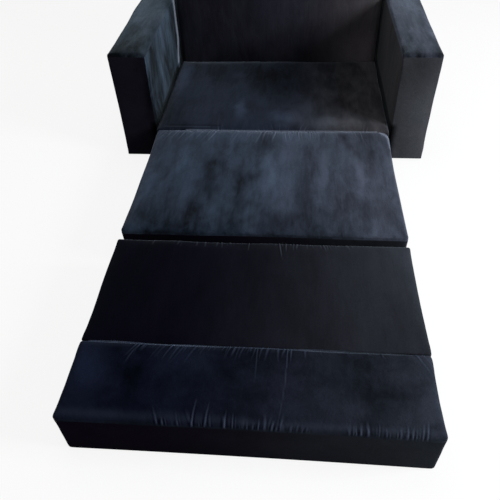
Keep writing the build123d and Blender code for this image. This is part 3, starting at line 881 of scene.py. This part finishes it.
def block(name, sewn, zip_looks, seed, creases, lines, rear_right=block_corner):
    """One mattress block's cover over its foam.

    sewn is its end that is sewn to the next block, and zip_looks the way that its zip faces
    along Y. creases holds what pucker takes for each end, and lines the lines of painted highlight
    and painted shade along its top, each with its start, its end, its width and its gain.
    """
    low, high = node_box(name + "_cover")
    front, rear = (sewn_edge if sewn == end else block_edge for end in ("front", "rear"))
    corners = ((block_corner, block_corner), (block_corner, rear_right))
    draws = (block_draw, 0 if sewn == "front" else block_draw, 0 if sewn == "rear" else block_draw)
    side = velvets["side"]
    obj = soft_box(name + "_velvet", low, high,
                   [velvets[name + "_top"], velvets["border"], side, side, side],
                   (front, rear, block_edge), corners, block_crown, draws, *block_mesh)
    settle(obj, tight=("front", "rear"))
    refine(obj, 2)
    for end, look in creases.items():
        longest = max([look["lengths"][1]] + [one.length for one in look.get("singles", ())])
        zone = min(longest, crease_zone)
        near = (low[1] - 1, low[1] + zone) if end == "front" else (high[1] - zone, high[1] + 1)
        finer(obj, *near, high[2] - crease_depth)
    points = coordinates(obj)
    heights = swell(points, seed, block_swell)
    tone = np.zeros(len(points))
    for number, (end, look) in enumerate(creases.items()):
        seam_y, into = (low[1], 1) if end == "front" else (high[1], -1)
        rise, glow = pucker(points, seed + 10 + number, seam_y, into, high[2], **look)
        heights += rise
        tone += glow
    for line in lines:
        tone += painted_light_line(points, *line, high[2])
    upright = 1 - np.abs(normals(obj)[:, 2])
    seam_z = high[2] - block_crown - block_edge
    heights += groove(points[:, 2] - seam_z, *block_groove) * ease(upright, 0.4, 0.8)
    relief(obj, calmed(points, low, heights))
    points = coordinates(obj)
    zip_recess(points, name + "_zip", zip_looks)
    press_flat(points, high[2])
    points[:, 2] = np.maximum(points[:, 2], low[2])
    set_coordinates(obj, points)
    set_tone(obj, tone)
    dress(obj, bodies[name], [name + "_cover", name + "_foam"])


# The blocks' creases and their lines of painted highlight and painted shade are read off the photograph.
block("seat", "front", 1, 11, {
    "front": dict(
        spans=((-0.42, -0.1, 12, -0.1, 0), (-0.05, 0.14, 26, -0.35, 0.45), (0.15, 0.4, 5, 0.1, 0.3)),
        lengths=(14 * MM, 90 * MM), height=0.8 * MM, shine=0.32),
}, [
    ((-0.42, 0.838), (0.02, 0.838), 5 * MM, 0.35), ((-0.44, 0.8), (-0.44, 0.25), 5 * MM, 0.3),
    ((-0.449, 0.84), (-0.449, 0.24), 5 * MM, -1), ((-0.4, 0.262), (-0.2, 0.262), 3 * MM, -0.6),
    ((-0.42, 0.252), (-0.24, 0.252), 3 * MM, 0.3), ((-0.33, 0.235), (0.4, 0.235), 2.5 * MM, 1.3),
])
block("middle", "rear", -1, 21, {
    "rear": dict(
        spans=((-0.42, -0.1, 60, -0.5, -0.35), (-0.1, 0.18, 50, -0.3, 0.22), (0.18, 0.43, 8, 0, 0.2)),
        lengths=(16 * MM, 115 * MM), height=1.2 * MM, shine=0.62,
        singles=(Crease(0.052, 0.08, 0.4, 1.8 * MM, 0.085, 1.4),
                 Crease(0.064, 0.15, 0.4, 1.5 * MM, 0.07, 1))),
}, [
    ((0.415, 0.224), (0.436, 0.2), 7 * MM, 1.6), ((0.436, 0.2), (0.443, 0.13), 6 * MM, 0.9),
    ((-0.34, 0.229), (0.42, 0.229), 2.2 * MM, 1.5),
], sewn_corner)
block("foot", "front", 1, 31, {
    "rear": dict(
        spans=((-0.34, -0.05, 44, -0.12, 0.1), (0.04, 0.27, 44, 0, 0.25)),
        lengths=(7 * MM, 46 * MM), height=1.1 * MM, shine=0.95,
        singles=(Crease(-0.035, 0, 0, 1.5 * MM, 0.05, 0.9), Crease(0.055, 0.13, 0.3, 1.8 * MM, 0.085, 1.2),
                 Crease(0.075, 0.05, 0, 1.4 * MM, 0.05, 0.9))),
}, [((-0.43, -0.3945), (0.43, -0.3945), 3.5 * MM, 0.35)])
block("end", "rear", 1, 41, {
    "rear": dict(
        spans=((-0.3, 0.03, 54, -0.5, -0.2), (0.03, 0.2, 9, -0.1, 0.1), (0.22, 0.43, 5, 0.3, 0.5)),
        lengths=(8 * MM, 70 * MM), height=1.3 * MM, shine=0.7,
        singles=(Crease(0.016, 0, 0, 1.5 * MM, 0.1, 0.8), Crease(0.09, 0.02, -0.5, 1.4 * MM, 0.25, 0.8))),
    "front": dict(
        spans=((-0.2, 0, 30, -0.4, 0), (0, 0.15, 26, 0.1, 0.5), (0.22, 0.4, 30, -0.1, 0.15)),
        lengths=(8 * MM, 42 * MM), height=1.3 * MM, shine=0.85,
        singles=(Crease(-0.12, 0.05, 0.5, 1.7 * MM, 0.07, 0.9), Crease(-0.09, 0.1, 0, 1.6 * MM, 0.06, 0.8))),
}, [
    ((-0.44, -0.98), (0, -0.98), 12 * MM, 0.2), ((0, -0.982), (0.44, -0.982), 8 * MM, 0.2),
    ((-0.43, -0.786), (0.1, -0.786), 6 * MM, 0.12), ((-0.43, -0.7795), (0.25, -0.7795), 2 * MM, 1),
    ((0.25, -0.7795), (0.43, -0.7795), 2 * MM, 0.4),
])


def arm_tone(points, low, high, seam_z, side):
    """An arm's tone: painted shade beside the seat and along its front edge, and on the left one a painted
    highlight with painted shade behind it.
    """
    inner_x = high[0] if side == "left" else low[0]
    on_inner = ease(np.abs(points[:, 0] - inner_x), *inner_fade)
    seat_top = node_box("seat_cover")[1][2]
    tone = -seat_shade * ease(points[:, 2], seat_top + seat_fade[0], seat_top + seat_fade[1])
    if side == "left":
        glint = glint_y + glint_lean * ease(points[:, 2], *glint_heights)
        line = np.exp(-((points[:, 1] - glint) / glint_width) ** 2)
        tone += glint_gain * line - glint_shade * ease(points[:, 1], *glint_shade_ys)
    tone *= on_inner
    edge = np.exp(-((points[:, 1] - low[1]) / edge_shade_width) ** 2)
    return tone - edge_shade * edge * (points[:, 2] > seam_z)


def arm(side, seed):
    """One arm's cover over its foam."""
    node = "arm_" + side + "_cover"
    low, high = node_box(node)
    inner, outer = velvets["arm_inner_" + side], velvets["side"]
    left, right = (outer, inner) if side == "left" else (inner, outer)
    obj = soft_box("arm_" + side + "_velvet", low, high,
                   [velvets["arm_top"], velvets["arm_front"], outer, left, right],
                   (arm_edge,) * 3, ((arm_corner,) * 2,) * 2, arm_crown, (arm_draw,) * 3,
                   *arm_mesh, arm_hem)
    settle(obj, arm_cap)
    refine(obj, 1)
    points = coordinates(obj)
    heights = swell(points, seed, arm_swell)
    facing = np.abs(normals(obj))
    seam_y = low[1] + arm_front_seam
    seam_z = high[2] - arm_crown - arm_edge
    heights += groove(points[:, 1] - seam_y, *arm_front_groove) * ease(1 - facing[:, 1], 0.2, 0.6)
    heights += groove(points[:, 2] - seam_z, *arm_top_groove) * ease(1 - facing[:, 2], 0.4, 0.8)
    set_tone(obj, arm_tone(points, low, high, seam_z, side))
    relief(obj, calmed(points, low, heights))
    dress(obj, "sofa_frame", [node, "arm_" + side + "_foam_wrap"])


def back(seed):
    """The back's cover over its foam."""
    low, high = node_box("back_cover")
    front, edge = velvets["back_front"], velvets["back_edge"]
    obj = soft_box("back_velvet", low, high, [edge, front, velvets["side"], edge, edge],
                   (back_edge, back_rear_edge, back_edge), ((back_corner,) * 2, (back_rear_edge,) * 2),
                   back_crown, (0, back_draw, 0), *back_mesh)
    settle(obj, back_cap)
    refine(obj, 1)
    points = coordinates(obj)
    heights = swell(points, seed, back_swell)
    over_frame = ease(points[:, 1], low[1] + back_corner, low[1] + 2 * back_corner)
    heights += over_frame * (frame_swell * np.abs(heights) - heights)
    relief(obj, calmed(points, low, heights))
    keep_over(obj, ["back_left_post", "back_right_post", "back_rear_panel"])
    dress(obj, "sofa_frame", ["back_cover", "back_foam_pad"])


arm("left", 51)
arm("right", 61)
back(71)


def grid_object(name, points, shape, material):
    """A sheet of faces over a grid of points, shape[0] by shape[1]."""
    index = np.arange(shape[0] * shape[1]).reshape(shape)
    faces = [(index[i, j], index[i, j + 1], index[i + 1, j + 1], index[i + 1, j])
             for i in range(shape[0] - 1) for j in range(shape[1] - 1)]
    return new_object(name, points, faces, None, [material])


def strip(name, material, half_x, profile, step, ripple=0.0):
    """A band of cloth along X with the given profile of (Y, Z) points, and a stitched ripple."""
    xs = np.linspace(-half_x, half_x, round(2 * half_x / step) + 1)
    profile = np.array(profile)
    x, k = np.meshgrid(xs, np.arange(len(profile)), indexing="ij")
    y, z = profile[k, 0], profile[k, 1] + ripple * np.sin(2 * math.pi * x / stitch_pitch)
    return grid_object(name, np.stack([x.ravel(), y.ravel(), z.ravel()], axis=1), x.shape, material)


def seam(name, material, rear, front):
    """The sewn seam between two blocks: a valley of cloth with its stitches."""
    node = rear + "_seam_allowance"
    low, high = node_box(node)
    rear_y = node_box(rear + "_cover")[0][1]
    front_y = node_box(front + "_cover")[1][1]
    middle_y = (rear_y + front_y) / 2
    top = high[2] - seam_depth
    mirrored = tuple((-dy, dz) for dy, dz in seam_profile[-2::-1])
    profile = [(middle_y + dy * MM, top - dz * MM) for dy, dz in seam_profile + mirrored]
    obj = strip(name, material, high[0], profile, stitch_step, stitch_height)
    dress(obj, None, [node])
    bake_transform(obj)


def hinge_tape():
    """The tape on the floor that joins the second block to the third."""
    rear_low, rear_high = node_box("middle_hinge_tape")
    front_low, front_high = node_box("foot_hinge_tape")
    ys = np.linspace(rear_high[1], front_low[1], tape_rows)
    z = rear_high[2] / 2
    obj = strip("hinge_tape", other_materials["tape"], rear_high[0], [(y, z) for y in ys], tape_step)
    dress(obj, None, ["middle_hinge_tape", "foot_hinge_tape"])
    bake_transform(obj)


def base_cloth(name):
    """The thin cloth under a block, stretched flat between its hems."""
    low, high = node_box(name + "_base_cloth")
    xs = np.linspace(low[0], high[0], base_columns)
    ys = np.linspace(low[1], high[1], max(10, round((high[1] - low[1]) / base_step)))
    x, y = np.meshgrid(xs, ys, indexing="ij")
    points = np.stack([x.ravel(), y.ravel(), np.full(x.size, low[2] + base_lift)], axis=1)
    points[:, 2] += base_swell * np.clip(waves(points, len(name), base_swell_length), -1.5, 1.5)
    obj = grid_object(name + "_base", points, x.shape, other_materials["base_cloth"])
    dress(obj, bodies[name], [name + "_base_cloth"])


seam("seat_seam", velvets["seam_rear"], "seat", "middle")
seam("end_seam", velvets["seam_front"], "foot", "end")
hinge_tape()
for name in bodies:
    base_cloth(name)

# Every CAD node that still shows takes its finish from its material slot. The base board is
# stained black, because its front edge shows in the gaps beside the seat.
slots = {s["node"]: s["material_slot"] for s in frame["record"]["subparts"]}
slots["base_board"] = "stained_board"
for name, node in frame["nodes"].items():
    finish = other_materials.get(slots[name])
    if finish is not None:
        node.data.materials.clear()
        node.data.materials.append(finish)


def white_for_camera(tree, output, surface, white, share):
    """Mixes a plain white into a surface, only where the camera or a reflection looks at it."""
    path = add(tree, "LightPath")
    seen = calc(tree, "ADD", path.outputs["Is Camera Ray"], path.outputs["Is Glossy Ray"])
    seen = calc(tree, "ADD", seen, path.outputs["Is Transmission Ray"], clamp=True)
    mixer = add(tree, "MixShader")
    link(calc(tree, "MULTIPLY", seen, share), mixer.inputs[0])
    link(surface, mixer.inputs[1])
    link(white, mixer.inputs[2])
    link(mixer.outputs[0], output.inputs["Surface"])


def floor():
    """A pale floor that stays near white in the picture and keeps the shadow."""
    half = floor_half
    corners = [(-half, -half, 0), (half, -half, 0), (half, half, 0), (-half, half, 0)]
    obj = new_object("floor", corners, [(0, 1, 2, 3)])
    obj.location.z = -floor_drop
    material, tree, shader = new_material("floor")
    tone = noise(tree, mapped(tree), 3.0, 2.0)
    give(shader, {"Base Color": mix_colour(tree, tone, (0.80, 0.80, 0.80), (0.84, 0.84, 0.84)),
                  "Roughness": 0.9, "Specular IOR Level": 0.1})
    white = add(tree, "Emission")
    white_for_camera(tree, tree.nodes["Material Output"], shader.outputs[0], white.outputs[0], floor_white)
    obj.data.materials.append(material)


def surroundings():
    """Soft white light from all round, and white where the camera sees past the floor."""
    world = bpy.data.worlds.new("surroundings")
    bpy.context.scene.world = world
    world.use_nodes = True
    tree = world.node_tree
    backdrop = tree.nodes["Background"]
    give(backdrop, {"Color": (1.0, 0.98, 0.96), "Strength": ambient})
    white = give(add(tree, "Background"), {"Color": (1, 1, 1)})
    white_for_camera(tree, tree.nodes["World Output"], backdrop.outputs[0], white.outputs[0], 1.0)


def lamp(name, place, target, size, power, colour):
    """A soft square lamp that looks at a point."""
    data = bpy.data.lights.new(name, "AREA")
    data.shape = "SQUARE"
    data.size = size
    data.energy = power
    data.color = colour
    obj = placed(name, data)
    obj.location = place
    obj.rotation_euler = (Vector(target) - Vector(place)).to_track_quat("-Z", "Y").to_euler()


def lights():
    """A key lamp from the right, whose shadow of the right arm falls across the seat, and a soft top."""
    low, high = node_box("arm_right_cover")
    corner = Vector((low[0], low[1], high[2]))
    lamp("key", corner + Vector(towards_key) * key_distance, corner, key_size, key_power, (0.95, 0.98, 1.0))
    lamp("top", top_place, (0, 0, 0), top_size, top_power, (0.98, 0.98, 1.0))


def camera():
    """The photograph's viewpoint."""
    data = bpy.data.cameras.new("camera")
    data.lens = camera_lens
    data.sensor_width = camera_sensor
    data.sensor_fit = "HORIZONTAL"
    obj = placed("camera", data)
    yaw, pitch, roll = (math.radians(a) for a in camera_turns)
    forward = Vector((math.sin(yaw) * math.cos(pitch), math.cos(yaw) * math.cos(pitch), -math.sin(pitch)))
    flat_right = Vector((math.cos(yaw), -math.sin(yaw), 0))
    flat_up = flat_right.cross(forward)
    right = math.cos(roll) * flat_right + math.sin(roll) * flat_up
    up = -math.sin(roll) * flat_right + math.cos(roll) * flat_up
    arm_front = node_box("arm_left_cover")[0][1]
    place = Vector(camera_offset) + Vector((0, arm_front, 0))
    turn = Matrix((right, up, -forward)).transposed()
    obj.matrix_world = Matrix.Translation(place) @ turn.to_4x4()
    bpy.context.scene.camera = obj


floor()
surroundings()
lights()
camera()
bpy.context.scene.view_settings.view_transform = "Standard"
